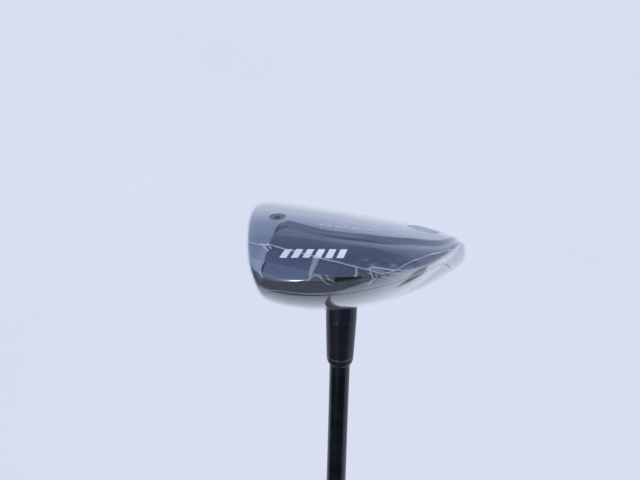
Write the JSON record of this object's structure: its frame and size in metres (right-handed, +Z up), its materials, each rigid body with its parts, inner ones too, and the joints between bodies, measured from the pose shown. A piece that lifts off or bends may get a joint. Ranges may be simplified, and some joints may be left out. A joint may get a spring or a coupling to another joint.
{
  "type": "hybrid golf club",
  "caption": "Right-handed hybrid golf club with a hollow black head, wrapped in clear shrink film, a tapered ferrule, a graphite shaft and a rubber grip.",
  "frame": {"origin": "centre of the grip cap's outer face, where the vent hole opens; the club stands upright on its grip end, head up", "axes": "+Z up the shaft to the head, -Y towards the toe, +Y towards the heel, -X the way the face looks, +X to the rear of the head"},
  "size_m": [0.0689, 0.114, 1.0591],
  "materials": {
    "body_paint": "deep gloss black lacquer on cast steel",
    "face_steel": "fine brushed and blasted dark steel",
    "crown_paint": "deep gloss black lacquer over a moulded composite panel",
    "adhesive": "cured grey adhesive",
    "plug_steel": "dark satin steel",
    "weight_steel": "dark satin dense alloy",
    "hosel_paint": "gloss black lacquer on steel",
    "plug_plastic": "matte black",
    "shaft_lacquer": "gloss black lacquered graphite",
    "epoxy": "cured grey epoxy",
    "tip_weight_brass": "plain turned brass",
    "ferrule_plastic": "polished black plastic",
    "ring_metal": "satin dark grey plastic trim",
    "tape": "pale double-sided paper tape",
    "grip_rubber": "matte black textured rubber",
    "cap_rubber": "smooth matte black rubber",
    "film": "thin clear shrink film, glossy and lightly creased",
    "film_seam": "clear film welded to a milky line"
  },
  "bodies": {
    "root": {"head_body": "body_paint", "face_plate": "face_steel", "crown_panel": "crown_paint", "crown_adhesive": "adhesive", "port_plug": "plug_steel", "rear_weight": "weight_steel", "hosel": "hosel_paint", "hosel_plug": "plug_plastic", "shaft": "shaft_lacquer", "shaft_epoxy": "epoxy", "tip_weight": "tip_weight_brass", "ferrule": "ferrule_plastic", "ferrule_ring": "ring_metal", "grip_tape": "tape", "grip": "grip_rubber", "grip_cap": "cap_rubber", "shrink_film": "film", "film_seam": "film_seam"}
  },
  "joints": []
}
